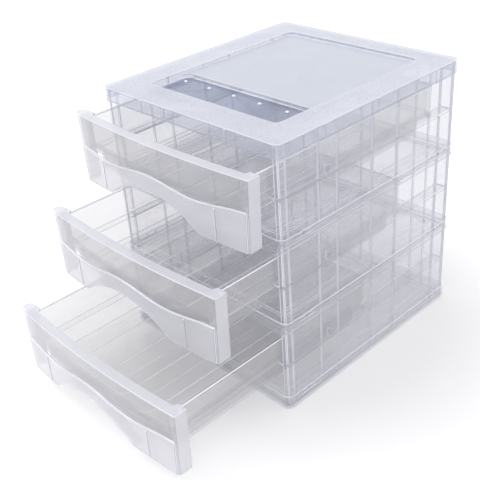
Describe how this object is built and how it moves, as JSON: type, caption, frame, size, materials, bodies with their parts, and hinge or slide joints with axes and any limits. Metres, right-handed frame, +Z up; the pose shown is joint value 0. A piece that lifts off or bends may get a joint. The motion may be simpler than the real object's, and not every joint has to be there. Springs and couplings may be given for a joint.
{
  "type": "stackable drawer box",
  "caption": "Desktop drawer unit in clear plastic: ribbed panels between banded plates, a frosted cover with a pen tray, and bowed sliding drawers with finger arches.",
  "frame": {"origin": "middle of the flat underside of the base plate", "axes": "+Z up, -Y towards the front where the drawers come out, +X to the right as seen from the front"},
  "size_m": [0.2683, 0.443, 0.306],
  "materials": {
    "frosted_cover": "frosted",
    "clear_shell": "polished",
    "clear_tray": "polished",
    "clear_front": "polished"
  },
  "bodies": {
    "cabinet": {"top_cover": "frosted_cover", "shelf_upper": "clear_shell", "shelf_lower": "clear_shell", "base_plate": "clear_shell", "left_panel_upper": "clear_shell", "left_panel_middle": "clear_shell", "left_panel_lower": "clear_shell", "right_panel_upper": "clear_shell", "right_panel_middle": "clear_shell", "right_panel_lower": "clear_shell", "back_panel_upper": "clear_shell", "back_panel_middle": "clear_shell", "back_panel_lower": "clear_shell"},
    "drawer_upper": {"tray_upper": "clear_tray", "front_upper": "clear_front"},
    "drawer_middle": {"tray_middle": "clear_tray", "front_middle": "clear_front"},
    "drawer_lower": {"tray_lower": "clear_tray", "front_lower": "clear_front"}
  },
  "joints": [
    {"name": "upper_drawer_slide", "type": "slide", "parent": "cabinet", "child": "drawer_upper", "axis": [0, -1, 0], "range_m": [-0.021, 0.169]},
    {"name": "middle_drawer_slide", "type": "slide", "parent": "cabinet", "child": "drawer_middle", "axis": [0, -1, 0], "range_m": [-0.071, 0.119]},
    {"name": "lower_drawer_slide", "type": "slide", "parent": "cabinet", "child": "drawer_lower", "axis": [0, -1, 0], "range_m": [-0.132, 0.058]}
  ]
}
